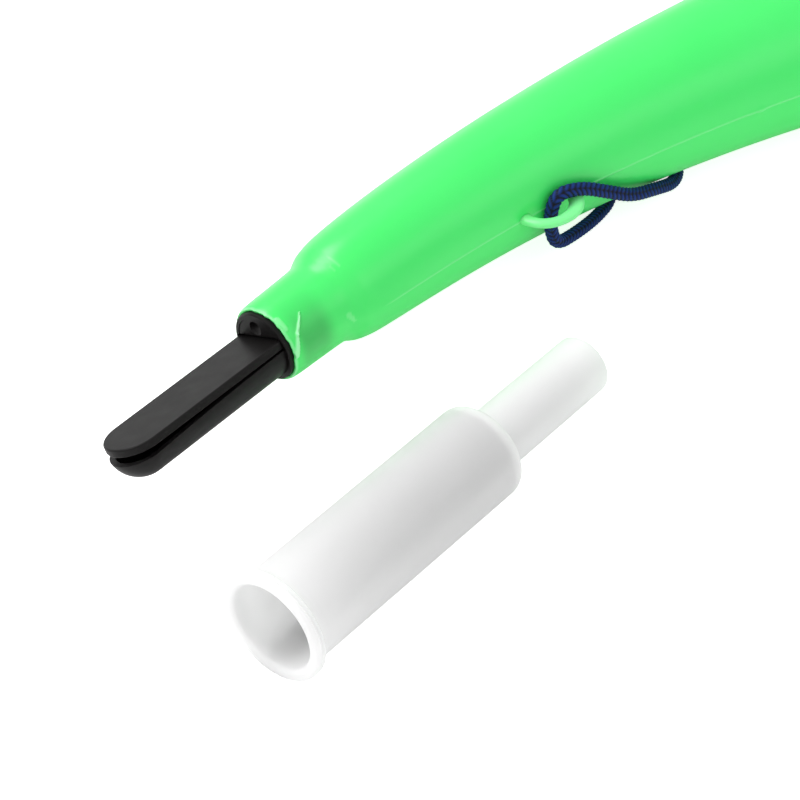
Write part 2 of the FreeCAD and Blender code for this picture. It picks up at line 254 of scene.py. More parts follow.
def black_polystyrene(finishes):
    """Satin moulded polystyrene: an even black with a fine spark-eroded grain and faint scuffs."""
    material, tree, shader = new_material("black_moulded_polystyrene")
    where, _ = grain(tree, shader, 0.35 * MM, 0.006 * MM)
    varied(tree, shader, where, 5 * MM, 0.36, 0.5)
    scuffs = add_node(tree, "ShaderNodeTexNoise", {"Scale": 1 / (3.5 * MM), "Detail": 5.0, "Distortion": 0.6},
                      {"Vector": where.outputs["Object"]})
    worn = add_node(tree, "ShaderNodeMapRange", {"From Min": 0.52, "From Max": 0.8, "To Max": 0.35},
                    {"Value": scuffs.outputs["Fac"]})
    lighter = [c * 1.9 for c in finishes.black]
    tree.links.new(mixed(tree, worn.outputs["Result"], finishes.black, lighter), shader.inputs["Base Color"])
    set_shader(shader, {"IOR": 1.59, "Specular IOR Level": 0.15})
    return material


def navy_polyester(finishes):
    """Braided polyester yarn: matt, its filaments catching a faint sheen, with painted shade down between the
    strands.
    """
    material, tree, shader = new_material("navy_polyester_braid")
    where = add_node(tree, "ShaderNodeTexCoord")
    ridge = add_node(tree, "ShaderNodeAttribute", attribute_name="ridge")
    yarn = add_node(tree, "ShaderNodeTexNoise", {"Scale": 1 / (0.28 * MM), "Detail": 3.0},
                    {"Vector": where.outputs["Object"]})
    bump = add_node(tree, "ShaderNodeBump", {"Strength": 1.0, "Distance": 0.05 * MM},
                    {"Height": yarn.outputs["Fac"]})
    tree.links.new(bump.outputs["Normal"], shader.inputs["Normal"])
    lighter = [c * 1.5 for c in finishes.navy]
    strands = mixed(tree, yarn.outputs["Fac"], finishes.navy, lighter)
    # painted shade: the navy darkens towards the gaps between the strands, by the ridge attribute
    raised = add_node(tree, "ShaderNodeMapRange", {"From Min": 0.35, "From Max": 0.95},
                      {"Value": ridge.outputs["Fac"]})
    tree.links.new(mixed(tree, raised.outputs["Result"], finishes.navy_painted_gap_shade, strands),
                   shader.inputs["Base Color"])
    set_shader(shader, {"Roughness": 0.6, "IOR": 1.5, "Specular IOR Level": 0.2, "Sheen Weight": 0.03,
                        "Sheen Roughness": 0.4})
    return material


def tie_rubber(finishes):
    """Cut rubber band: dull, with fine talc in its pores."""
    material, tree, shader = new_material("black_tie_rubber")
    _, noise = grain(tree, shader, 0.6 * MM, 0.03 * MM)
    lighter = [c * 2.2 for c in finishes.rubber]
    tree.links.new(mixed(tree, noise.outputs["Fac"], finishes.rubber, lighter), shader.inputs["Base Color"])
    set_shader(shader, {"Roughness": 0.8, "IOR": 1.52})
    return material


MAKERS = {"green": green_polyethylene, "white": white_polyethylene, "black": black_polystyrene,
          "navy": navy_polyester, "rubber": tie_rubber}
MADE = {}


def finish_of(name):
    """The material of that name, made the first time it is asked for."""
    if name not in MADE:
        MADE[name] = MAKERS[name](bpy.context.scene.horn_finishes)
    return MADE[name]


# --- modelling helpers --------------------------------------------------------------------------------------

def nothing_selected():
    if bpy.context.object and bpy.context.object.mode != "OBJECT":
        bpy.ops.object.mode_set(mode="OBJECT")
    bpy.ops.object.select_all(action="DESELECT")


def smoothed(obj, angle=40.0):
    nothing_selected()
    obj.select_set(True)
    bpy.context.view_layer.objects.active = obj
    bpy.ops.object.shade_smooth_by_angle(angle=math.radians(angle))


def drawn(name, rings, ends="closed", notes=None):
    """Mesh drawn from ring to ring: a circle is extruded for each ring, whose points are then put in place.
    ends is closed for a ring-shaped solid, whose last ring meets its first, or cap for a bar. notes maps
    attribute names to values per ring."""
    nothing_selected()
    if ends == "closed":
        rings = rings + rings[:1]
        notes = {attribute: values + values[:1] for attribute, values in (notes or {}).items()}
    bpy.ops.mesh.primitive_circle_add(vertices=len(rings[0]), radius=MM)
    obj = bpy.context.object
    obj.name = name
    obj.data.name = name
    for attribute in ("order", "ring"):
        obj.data.attributes.new(attribute, "INT", "POINT")
    for i, value in enumerate(obj.data.attributes["order"].data):
        value.value = i
    bpy.ops.object.mode_set(mode="EDIT")
    bpy.ops.mesh.select_all(action="SELECT")
    for j, ring in enumerate(rings):
        if j:
            bpy.ops.mesh.extrude_region_move()
        mesh = bmesh.from_edit_mesh(obj.data)
        order = mesh.verts.layers.int["order"]
        which = mesh.verts.layers.int["ring"]
        for vertex in mesh.verts:
            if vertex.select:
                vertex.co = ring[vertex[order]]
                vertex[which] = j
        bmesh.update_edit_mesh(obj.data)
    if ends == "closed":
        bpy.ops.mesh.select_all(action="SELECT")
        bpy.ops.mesh.remove_doubles(threshold=MERGE_GAP)
    else:
        for last in (False, True):
            mesh = bmesh.from_edit_mesh(obj.data)
            which = mesh.verts.layers.int["ring"]
            bpy.ops.mesh.select_all(action="DESELECT")
            wanted = len(rings) - 1 if last else 0
            for edge in mesh.edges:
                edge.select_set(all(v[which] == wanted for v in edge.verts) and len(edge.link_faces) == 1)
            bpy.ops.mesh.edge_face_add()
    bpy.ops.mesh.select_all(action="SELECT")
    bpy.ops.mesh.normals_make_consistent(inside=False)
    bpy.ops.object.mode_set(mode="OBJECT")
    data = obj.data
    for attribute, values in (notes or {}).items():
        layer = data.attributes.new(attribute, "FLOAT", "POINT")
        for k in range(len(data.vertices)):
            j = data.attributes["ring"].data[k].value
            i = data.attributes["order"].data[k].value
            layer.data[k].value = values[j][i]
    for attribute in ("order", "ring"):
        data.attributes.remove(data.attributes[attribute])
    return obj


def joined(obj, *others):
    """Joins other meshes into obj."""
    nothing_selected()
    for other in (obj, *others):
        other.select_set(True)
    bpy.context.view_layer.objects.active = obj
    bpy.ops.object.join()
    return obj


def painted(obj, finish, slot, body, *nodes):
    """Gives a piece its material and body, and hides the nodes it stands for; slot is not used."""
    obj.data.materials.clear()
    obj.data.materials.append(finish_of(finish))
    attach(obj, body)
    if nodes:
        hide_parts(*nodes)
    return obj


def curve_between(points, value):
    """Smooth interpolation through (position, value) points, by a cubic with Catmull-Rom slopes."""
    if value <= points[0][0]:
        return points[0][1]
    for k in range(len(points) - 1):
        (x0, y0), (x1, y1) = points[k], points[k + 1]
        if value <= x1:
            before = points[k - 1] if k else points[k]
            after = points[k + 2] if k + 2 < len(points) else points[k + 1]
            slope0 = (y1 - before[1]) / (x1 - before[0])
            slope1 = (after[1] - y0) / (after[0] - x0)
            t = (value - x0) / (x1 - x0)
            h = x1 - x0
            return ((2 * t ** 3 - 3 * t ** 2 + 1) * y0 + (t ** 3 - 2 * t ** 2 + t) * h * slope0
                    + (3 * t ** 2 - 2 * t ** 3) * y1 + (t ** 3 - t ** 2) * h * slope1)
    return points[-1][1]


def step_up(value, low, high):
    """0 below low, 1 above high, smooth between."""
    t = min(max((value - low) / (high - low), 0.0), 1.0)
    return t * t * (3 - 2 * t)


# --- stage --------------------------------------------------------------------------------------------------

CAMERA_TARGET = Vector((-0.1066, 0.006, 0.0))
CAMERA_DISTANCE = 0.7543
CAMERA_ELEVATION = math.radians(44.445)
CAMERA_HEADING = math.radians(31.5)      # from +Y towards +X
CAMERA_LENS = 138.1
SENSOR_WIDTH = 36.0
CLIP_START = 0.01
FLOOR_SIZE = 60.0
FLOOR_GLOW = 0.75                        # how much brighter the sweep looks than it lights the horn
STUDIO_LIGHT = 0.76
LIGHTS = (                               # name, place, target, size in metres, watts
    ("key", (-0.45, 0.55, 0.9), (0.0, 0.03, 0.0), (1.1, 0.45), 8.5),
    ("fill", (0.35, -0.9, 0.8), (0.0, 0.0, 0.0), (0.9, 0.6), 1.4),
)


def area_light(name, place, target, size, energy):
    light = bpy.data.lights.new(name, "AREA")
    light.shape = "RECTANGLE"
    light.size, light.size_y = size
    light.energy = energy
    obj = bpy.data.objects.new(name, light)
    obj.location = place
    obj.rotation_euler = (Vector(target) - Vector(place)).to_track_quat("-Z", "Y").to_euler()
    bpy.context.scene.collection.objects.link(obj)


class HORN_OT_stage(bpy.types.Operator):
    """Camera, pale floor and soft studio light"""
    bl_idname = "horn.stage"
    bl_label = "Stage"

    def execute(self, context):
        level = math.cos(CAMERA_ELEVATION)
        forward = Vector((math.sin(CAMERA_HEADING) * level, math.cos(CAMERA_HEADING) * level,
                          -math.sin(CAMERA_ELEVATION)))
        camera = bpy.data.cameras.new("camera")
        camera.lens = CAMERA_LENS
        camera.sensor_width = SENSOR_WIDTH
        camera.clip_start = CLIP_START
        obj = bpy.data.objects.new("camera", camera)
        obj.location = CAMERA_TARGET - forward * CAMERA_DISTANCE
        obj.rotation_euler = forward.to_track_quat("-Z", "Y").to_euler()
        context.scene.collection.objects.link(obj)
        context.scene.camera = obj

        nothing_selected()
        bpy.ops.mesh.primitive_plane_add(size=FLOOR_SIZE)
        floor = context.object
        floor.name = "floor"
        material, tree, shader = new_material("white_paper_sweep")
        where = add_node(tree, "ShaderNodeTexCoord")
        noise = add_node(tree, "ShaderNodeTexNoise", {"Scale": 40.0}, {"Vector": where.outputs["Object"]})
        tree.links.new(mixed(tree, noise.outputs["Fac"], linear("FCFCFC"), linear("FFFFFF")),
                       shader.inputs["Base Color"])
        seen = add_node(tree, "ShaderNodeLightPath")
        glow = add_node(tree, "ShaderNodeMath", {1: FLOOR_GLOW}, {0: seen.outputs["Is Camera Ray"]},
                        operation="MULTIPLY")
        tree.links.new(glow.outputs["Value"], shader.inputs["Emission Strength"])
        set_shader(shader, {"Roughness": 1.0, "Specular IOR Level": 0.0, "Emission Color": WHITE})
        floor.data.materials.append(material)

        world = bpy.data.worlds.new("studio")
        world.use_nodes = True
        background = world.node_tree.nodes["Background"]
        background.inputs["Color"].default_value = WHITE
        background.inputs["Strength"].default_value = STUDIO_LIGHT
        context.scene.world = world
        for light in LIGHTS:
            area_light(*light)
        context.scene.view_settings.view_transform = "Standard"
        return {"FINISHED"}


# --- lanyard ------------------------------------------------------------------------------------------------

TABLE_Z = 1.78
LANYARD_ROUTE = [
    (16.0, 79.5, TABLE_Z), (4.0, 79.0, TABLE_Z), (-7.0, 72.5, TABLE_Z), (-12.0, 60.5, TABLE_Z),
    (-15.5, 48.5, TABLE_Z), (-21.0, 39.5, 1.9), (-30.5, 33.0, 4.6), (-40.5, 27.6, 8.0),
    (-48.8, 24.3, 10.4), (-51.2, 23.8, 17.0), (-51.2, 24.0, 23.2), (-48.6, 24.7, 27.2),
    (-41.0, 24.7, 25.6), (-33.0, 24.4, 20.8), (-25.2, 25.0, 15.6), (-15.5, 28.0, 11.5),
    (-5.5, 33.2, 5.2), (1.5, 41.0, TABLE_Z), (7.0, 52.5, TABLE_Z), (12.0, 61.5, TABLE_Z),
    (19.0, 65.6, TABLE_Z), (26.0, 66.2, TABLE_Z),
]
HANK_MIDDLE = (56.0, 73.8)
HANK_LEG = 20.6                        # half the straight length of a turn
HANK_TURNS = [(7.6, TABLE_Z), (4.1, TABLE_Z), (4.1, 4.9), (7.6, 4.9), (7.6, 8.0)]
TURN_CORNERS = 4                       # parts that each half round is drawn with
HANK_END = [(27.0, 81.6, 7.2), (22.5, 80.6, 5.2)]
LINE_SAMPLES = 24                      # points read from the route's line for each of its own
KNOT_MIDDLE = (20.0, 79.5, 3.5)
KNOT_REACH = (2.4, 1.45, 1.5)          # how far the knot's turns swing along, across and up
KNOT_POINTS = 24
TIE_SLACK = 0.6                        # room that the tie leaves round the winding
TIE_CORNER = 2.75
TIE_SIDES = 64
TIE_SECTION = (                        # (share of the half width, millimetres outward)
    (-1.0, -0.7), (-0.9, 0.0), (0.9, 0.0), (1.0, -0.7), (0.9, -0.9), (-0.9, -0.9),
)
BRAID_SLANT = 1.25                     # stitches that a strand runs along its quarter of the cord
BRAID_FACES = Vector((-0.37, -0.61, 0.70))    # side that one line of Vs stays turned to
BRAID_SWELL = 0.25                     # share of the relief that stands outside the cord's diameter
STRAND_POWER = 0.7                     # under 1 makes a strand's top broad
COLUMN_DIP = 0.5                       # how far the braid falls between two columns
COLUMN_POWER = 6
END_SHARE = 0.55                       # width of a closed end beside the full cord
END_RINGS = 4                          # rings over which an end widens


def hank_points():
    """Route of the put-away cord: a flat winding, turn by turn in and out and upwards, then to the knot."""
    points = []
    middle_x, middle_y = HANK_MIDDLE
    for k, (radius, height) in enumerate(HANK_TURNS):
        bulge = radius / math.cos(math.pi / (2 * TURN_CORNERS))
        points.append((middle_x - HANK_LEG, middle_y - radius, height))
        points.append((middle_x, middle_y - radius, height))
        for step in range(TURN_CORNERS + 1):
            angle = -math.pi / 2 + math.pi * step / TURN_CORNERS
            points.append((middle_x + HANK_LEG + bulge * math.cos(angle), middle_y + bulge * math.sin(angle),
                           height))
        points.append((middle_x, middle_y + radius, height))
        points.append((middle_x - HANK_LEG, middle_y + radius, height))
        if k + 1 < len(HANK_TURNS):
            next_radius, next_height = HANK_TURNS[k + 1]
            for step in range(1, TURN_CORNERS):
                share = step / TURN_CORNERS
                angle = math.pi / 2 + math.pi * share
                wide = (radius + (next_radius - radius) * share) / math.cos(math.pi / (2 * TURN_CORNERS))
                points.append((middle_x - HANK_LEG + wide * math.cos(angle),
                               middle_y + wide * math.sin(angle),
                               height + (next_height - height) * share))
    return points + HANK_END


def cord_line(name, points):
    """Points along the smooth line of a route, read from its NURBS curve."""
    curve = bpy.data.curves.new(name, "CURVE")
    curve.dimensions = "3D"
    spline = curve.splines.new("NURBS")
    spline.points.add(len(points) - 1)
    for target, point in zip(spline.points, points):
        target.co = (*(Vector(point) * MM), 1.0)
    spline.order_u = 3
    spline.use_endpoint_u = True
    spline.resolution_u = LINE_SAMPLES
    holder = bpy.data.objects.new(name, curve)
    bpy.context.scene.collection.objects.link(holder)
    bpy.context.view_layer.update()
    line = bpy.data.meshes.new_from_object(holder)
    found = [v.co.copy() for v in line.vertices]
    bpy.data.meshes.remove(line)
    bpy.data.objects.remove(holder)
    bpy.data.curves.remove(curve)
    return found


def even_steps(line, step):
    """The line's points again, at even distances."""
    travelled = [0.0]
    for a, b in zip(line, line[1:]):
        travelled.append(travelled[-1] + (b - a).length)
    count = int(travelled[-1] / step)
    result = []
    k = 0
    for n in range(count + 1):
        wanted = travelled[-1] * n / count
        while k < len(line) - 2 and travelled[k + 1] < wanted:
            k += 1
        share = (wanted - travelled[k]) / max(travelled[k + 1] - travelled[k], TINY)
        result.append(line[k].lerp(line[k + 1], share))
    return result, travelled[-1]


def braid_height(along, angle, stitch):
    """Relief of the braid, 0 to 1: four columns of slanting strands, each pair meeting in a V."""
    quarter = math.pi / 2
    column = int(angle // quarter)
    across = (angle % quarter) / quarter
    from_tip = across if column % 2 else 1 - across
    phase = along / stitch - BRAID_SLANT * from_tip
    strand = abs(math.sin(math.pi * phase)) ** STRAND_POWER
    edge = 1 - COLUMN_DIP * abs(2 * across - 1) ** COLUMN_POWER
    return strand * edge


def braided(name, line, sizes):
    """Mesh of the braid along a line, with its relief kept as an attribute."""
    radius = sizes.diameter / 2 + BRAID_SWELL * sizes.relief
    sides = sizes.sides
    vertices, faces, heights = [], [], []
    for n, point in enumerate(line):
        along = (line[min(n + 1, len(line) - 1)] - line[max(n - 1, 0)]).normalized()
        side = BRAID_FACES.cross(along).normalized()
        other = along.cross(side)
        closing = min(1.0, END_SHARE + (1 - END_SHARE) * min(n, len(line) - 1 - n) / END_RINGS)
        for i in range(sides):
            angle = 2 * math.pi * i / sides
            height = braid_height(n * sizes.step, angle, sizes.stitch)
            reach = (radius - sizes.relief * (1 - height)) * closing
            place = point + side * (reach * math.cos(angle)) + other * (reach * math.sin(angle))
            place.z = max(place.z, 0.0)
            vertices.append(place)
            heights.append(height)
            if n:
                before = (n - 1) * sides
                here = n * sides
                follow = (i + 1) % sides
                faces.append((before + i, here + i, here + follow, before + follow))
    first = list(range(sides))
    last = list(range(len(vertices) - sides, len(vertices)))
    faces += [tuple(first), tuple(reversed(last))]
    mesh = bpy.data.meshes.new(name)
    mesh.from_pydata(vertices, [], faces)
    layer = mesh.attributes.new("ridge", "FLOAT", "POINT")
    layer.data.foreach_set("value", heights)
    obj = bpy.data.objects.new(name, mesh)
    bpy.context.scene.collection.objects.link(obj)
    nothing_selected()
    obj.select_set(True)
    bpy.context.view_layer.objects.active = obj
    bpy.ops.object.mode_set(mode="EDIT")
    bpy.ops.mesh.select_all(action="SELECT")
    bpy.ops.mesh.normals_make_consistent(inside=False)
    bpy.ops.object.mode_set(mode="OBJECT")
    smoothed(obj, 75.0)
    return obj


def tie_band():
    """Rubber band round the hank's middle: a flat section drawn round the waist."""
    low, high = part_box("hank_tie")
    low = low - Vector((0, TIE_SLACK, 0)) * MM
    high = high + Vector((0, TIE_SLACK, 1.5 * TIE_SLACK)) * MM
    middle = (low + high) / 2
    half = (high - low) / 2
    corner = TIE_CORNER * MM
    rings = []
    for n in range(TIE_SIDES):
        angle = 2 * math.pi * n / TIE_SIDES
        direction = Vector((0, math.cos(angle), math.sin(angle)))
        flat_y = half.y - corner
        flat_z = half.z - corner
        base = Vector((0, math.copysign(flat_y, direction.y) if abs(direction.y) > TINY else 0.0,
                       math.copysign(flat_z, direction.z) if abs(direction.z) > TINY else 0.0))
        edge = middle + base + direction * corner
        rings.append([edge + Vector((half.x * u, 0, 0)) + direction * (v * MM) for u, v in TIE_SECTION])
    return drawn("tie_band", rings)


class HORN_OT_lanyard(bpy.types.Operator):
    """Braided cord from the knot, through the eye, to the tied hank"""
    bl_idname = "horn.lanyard"
    bl_label = "Lanyard"

    def execute(self, context):
        sizes = context.scene.lanyard_sizes
        line = cord_line("lanyard_line", LANYARD_ROUTE + hank_points())
        line, length = even_steps(line, sizes.step)
        cord = braided("lanyard_cord", line, sizes)
        painted(cord, "navy", "navy_cord", "horn", "lanyard_run", "lanyard_hank")

        middle = Vector(KNOT_MIDDLE)
        turns = []
        for n in range(KNOT_POINTS + 1):
            t = 2 * math.pi * n / KNOT_POINTS
            turns.append(middle + Vector((KNOT_REACH[0] * (math.sin(t) + 0.9 * math.sin(2 * t)),
                                          KNOT_REACH[1] * (math.cos(t) - 1.1 * math.cos(2 * t)),
                                          -KNOT_REACH[2] * math.sin(3 * t))))
        knot_line, _ = even_steps(cord_line("knot_line", turns), sizes.step)
        knot = braided("lanyard_knot_turns", knot_line, sizes)
        painted(knot, "navy", "navy_cord", "horn", "lanyard_knot")

        tie = tie_band()
        smoothed(tie)
        painted(tie, "rubber", "tie_rubber", "horn", "hank_tie")
        return {"FINISHED"}


# --- horn ---------------------------------------------------------------------------------------------------

NECK_PROFILE = [
    (0.0, 9.95), (0.45, 10.2), (1.2, 10.36), (3.2, 10.5), (10.0, 10.7), (17.0, 10.92), (18.6, 11.1),
    (20.0, 11.55),
]
BODY_PROFILE = [
    (20.0, 11.55), (23.0, 12.95), (28.0, 13.92), (36.0, 14.55), (48.0, 15.19),
    (75.0, 16.43), (105.0, 17.95), (140.0, 20.2), (175.0, 22.4), (215.0, 24.9),
    (250.0, 27.7), (280.0, 31.2), (298.0, 34.35), (308.4, 36.85),
]
NECK_BORE = 9.4
BORE_RINGS = [(21.0, NECK_BORE), (19.5, NECK_BORE), (17.0, NECK_BORE), (8.0, NECK_BORE), (1.0, NECK_BORE),
              (0.3, NECK_BORE), (0.05, NECK_BORE + 0.1)]
INSIDE_STATIONS = range(304, 22, -6)
LIP_BEAD = 1.6
BEAD_RINGS = 12
BEAD_START = 70                         # degrees
BEAD_SWEEP = 250
BELL_RADIUS = 38.0
HORN_LENGTH = 310.0
SEAM_START = 27.0
SEAM_END = 304.0
SEAM_FADE = 6
SEAM_PALENESS = 0.4
RIM_PALENESS = 0.6
RIM_FADE = (0.25, 0.6)
NUB_STATION = 151.5                     # small round mark on the parting line
NUB_LENGTH = 1.5
NUB_WIDTH = 0.8
NUB_HEIGHT = 0.45
TRIM_DEPTH = 1.6                        # how far the rim's uneven trim reaches
TRIM_WAVES = ((0.10, 7, 0.6), (0.07, 17, 0.0), (0.05, 31, 1.0))    # depth, waves round the rim, phase
STATION_GAPS = ((7.5, 0.35), (16.5, 1.0), (30.0, 0.5))    # up to this station, rings this far apart
NUB_GAP = 0.6
NUB_REACH = 5.0
PLAIN_GAP = 4.0
# painted shade of the plug seen through the neck's wall: where it starts and ends along the neck, its middle and
# spread round it, and its strength all round and on the side away from the light
PLUG_SHADE_START = (0.5, 4.5)
PLUG_SHADE_END = (9.5, 15.0)
PLUG_SHADE_MIDDLE = math.radians(168)
PLUG_SHADE_SPREAD = math.radians(38)
PLUG_SHADE_ALL_ROUND = 0.10
PLUG_SHADE_LOW_SIDE = 0.62
# The mould's marks, and two painted highlights: the rows at stations 22.9 and 21.4 are pale dashes standing for
# light glinting on the shoulder's crease.
MOULD_MARKS_AND_GLINTS = (                         # start and end as (station, degrees), half widths, rise, paleness
    ((6.6, 127.0), (2.6, 148.0), (0.2, 0.45), 0.40, 1.0),
    ((2.6, 148.0), (0.3, 174.0), (0.45, 0.75), 0.42, 1.0),
    ((0.9, 117.0), (1.0, 134.0), (0.75, 0.5), 0.22, 0.55),
    ((22.0, 80.0), (22.4, 160.0), (1.1, 1.1), -0.14, 0.0),
    # painted highlights: pale dashes where light glints on the shoulder's crease, on a slight rise
    ((22.9, 97.0), (22.9, 114.0), (0.3, 0.3), 0.05, 0.25),
    ((21.4, 106.0), (21.4, 114.0), (0.25, 0.25), 0.05, 0.2),
    ((18.2, 170.0), (19.4, 182.0), (0.8, 0.4), 0.10, 0.3),
)
EYE_STEPS = 40
EYE_SIDES = 28
EYE_FLARE = 0.12                        # how much wider the bar gets at the wall
EYE_FLARE_REACH = 0.12                  # over this share of the half ring
EYE_TAB = 0.30                          # how much wider the bar is at its end towards the bell
EYE_TAB_TURN = (0.9, 1.9)               # radians
EYE_WIDE = 1.1
EYE_THIN = 0.8
EYE_PALENESS = 0.55


def outer_radius(station):
    if station <= BODY_PROFILE[0][0]:
        return curve_between(NECK_PROFILE, station)
    return curve_between(BODY_PROFILE, station)


def around(angle, centre):
    """Signed angle from centre, in radians."""
    return (angle - centre + math.pi) % (2 * math.pi) - math.pi


def mark_strip(station, angle, radius, start, end, half_widths):
    """1 on a straight strip, a mould scar or a painted highlight, between two (station, degrees) places, falling
    to 0 at its sides, which widen.
    """
    x, y = station - start[0], (angle - math.radians(start[1])) * radius
    run_x, run_y = end[0] - start[0], math.radians(end[1] - start[1]) * radius
    share = (x * run_x + y * run_y) / (run_x ** 2 + run_y ** 2)
    nearest = min(max(share, 0.0), 1.0)
    gap = math.hypot(x - nearest * run_x, y - nearest * run_y)
    half_width = half_widths[0] + (half_widths[1] - half_widths[0]) * nearest
    return 1 - step_up(gap, half_width * 0.6, half_width * 1.25)


def relief(station, angle, radius, sizes):
    """(height, paleness) of the mould's marks and of the painted highlights on the outer surface, station and
    radius in millimetres.
    """
    height, pale = 0.0, RIM_PALENESS * (1 - step_up(station, *RIM_FADE))
    if SEAM_START < station < SEAM_END:
        ramp = (step_up(station, SEAM_START, SEAM_START + SEAM_FADE)
                * (1 - step_up(station, SEAM_END - SEAM_FADE, SEAM_END)))
        for centre in (0.0, math.pi):
            gap = around(angle, centre) * radius / (sizes.seam_width / MM)
            line = math.exp(-gap * gap) * ramp
            height += sizes.seam_height / MM * line
            pale = max(pale, SEAM_PALENESS * line)
    gap = around(angle, math.pi) * radius
    height += NUB_HEIGHT * math.exp(-((station - NUB_STATION) / NUB_LENGTH) ** 2 - (gap / NUB_WIDTH) ** 2)
    for start, end, half_widths, rise, tone in MOULD_MARKS_AND_GLINTS:
        mark = mark_strip(station, angle, radius, start, end, half_widths)
        height += rise * mark
        # paleness of the mould's marks, and painted highlight where a row stands for a glint
        pale = max(pale, tone * mark)
    return height, pale


def plug_shade(station, angle):
    """Painted shade of the black plug seen through the wall that it touches, strongest on the side away from the
    light.
    """
    along = step_up(station, *PLUG_SHADE_START) * (1 - step_up(station, *PLUG_SHADE_END))
    low_side = math.exp(-(around(angle, PLUG_SHADE_MIDDLE) / PLUG_SHADE_SPREAD) ** 2)
    return along * (PLUG_SHADE_ALL_ROUND + PLUG_SHADE_LOW_SIDE * low_side)


def horn_angles():
    """Angles round the horn in degrees: close together at both parting lines and over the neck's scars and the
    shoulder's painted highlights.
    """
    seam = [-4.0, -2.4, -1.5, -1.0, -0.6, -0.3, 0.0, 0.3, 0.6, 1.0, 1.5, 2.4, 4.0]
    angles = {round(a, 2) for c in (0.0, 180.0) for a in [(c + d) % 360 for d in seam]}
    angles |= {round(8.0 + 4.0 * n, 2) for n in range(23)}
    angles |= {round(98.0 + 1.6 * n, 2) for n in range(49)}
    angles |= {round(188.0 + 4.0 * n, 2) for n in range(42)}
    return sorted(angles)


def station_gap(here):
    """Distance to the next ring: short over the neck's rim and scars, the shoulder and the nub."""
    for limit, gap in STATION_GAPS:
        if here < limit:
            return gap
    return NUB_GAP if abs(here - NUB_STATION) < NUB_REACH else PLAIN_GAP


def horn_stations():
    """Stations of the outer rings, in millimetres."""
    stations = [0.0, 0.15, 0.4]
    while stations[-1] < HORN_LENGTH - 2 * LIP_BEAD:
        stations.append(stations[-1] + station_gap(stations[-1]))
    return stations[:-1] + [HORN_LENGTH - LIP_BEAD]


def horn_point(station, radius, angle):
    point, along, far, across = horn_frame(station * MM)
    return point + (far * math.cos(angle) + across * math.sin(angle)) * (radius * MM)


def ragged(angle):
    """Uneven trim of the neck's mouth, in millimetres."""
    return sum(depth * math.sin(waves * angle + phase) for depth, waves, phase in TRIM_WAVES)


def shell_rings(sizes):
    """Rings of the shell: out along its outside, round the bell's bead and back inside, with their notes."""
    angles = [math.radians(a) for a in horn_angles()]
    rings, shades, pales = [], [], []

    def add_ring(station, radius, outside):
        ring, shade, pale = [], [], []
        for angle in angles:
            rise, tone = relief(station, angle, radius, sizes) if outside else (0.0, 0.0)
            trim = ragged(angle) * (1 - step_up(station, 0.0, TRIM_DEPTH))
            ring.append(horn_point(station + trim, radius + rise, angle))
            shade.append(plug_shade(station, angle) if outside else 0.0)
            pale.append(tone)
        rings.append(ring)
        shades.append(shade)
        pales.append(pale)

    for station in horn_stations():
        add_ring(station, outer_radius(station), True)
    bead_station = HORN_LENGTH - LIP_BEAD
    for step in range(1, BEAD_RINGS):
        angle = math.radians(BEAD_START - BEAD_SWEEP * step / BEAD_RINGS)
        add_ring(bead_station + LIP_BEAD * math.cos(angle),
                 BELL_RADIUS - LIP_BEAD + LIP_BEAD * math.sin(angle), False)
    for station in INSIDE_STATIONS:
        add_ring(station, outer_radius(station) - sizes.wall / MM, False)
    for station, radius in BORE_RINGS:
        add_ring(station, radius, False)
    return rings, {"plug_shade": shades, "flash_and_glint": pales}


def eye_rings(sizes):
    """Half ring that stands out of the hollow side, flaring where it meets the wall."""
    station = sizes.eye_station
    point, along, far, across = horn_frame(station)
    base = point - far * (outer_radius(station / MM) * MM - sizes.wall / 2)
    rings = []
    for n in range(EYE_STEPS + 1):
        turn = math.pi * n / EYE_STEPS
        outward = along * math.cos(turn) - far * math.sin(turn)
        centre = base + outward * sizes.eye_radius
        root = min(n, EYE_STEPS - n) / EYE_STEPS
        flare = 1 + EYE_FLARE * (1 - step_up(root, 0.0, EYE_FLARE_REACH))
        tab = 1 + EYE_TAB * (1 - step_up(turn, *EYE_TAB_TURN))
        ring = []
        for i in range(EYE_SIDES):
            angle = 2 * math.pi * i / EYE_SIDES
            radial = EYE_WIDE * sizes.eye_band * flare * tab * math.cos(angle)
            high = EYE_THIN * sizes.eye_band * flare * math.sin(angle)
            ring.append(centre + outward * radial + across * high)
        rings.append(ring)
    return rings


class HORN_OT_shell(bpy.types.Operator):
    """Blow-moulded shell of the horn with its eye"""
    bl_idname = "horn.shell"
    bl_label = "Horn shell"

    def execute(self, context):
        sizes = context.scene.horn_sizes
        rings, notes = shell_rings(sizes)
        shell = drawn("horn_tube", rings, notes=notes)
        smoothed(shell, 35.0)
        rings = eye_rings(sizes)
        pale = [[EYE_PALENESS] * EYE_SIDES for _ in rings]
        none = [[0.0] * EYE_SIDES for _ in rings]
        eye = drawn("horn_eye", rings, ends="cap", notes={"plug_shade": none, "flash_and_glint": pale})
        smoothed(eye, 60.0)
        joined(shell, eye)
        painted(shell, "green", "green_polyethylene", "horn", "horn_shell")
        return {"FINISHED"}


# --- mouthpiece ---------------------------------------------------------------------------------------------

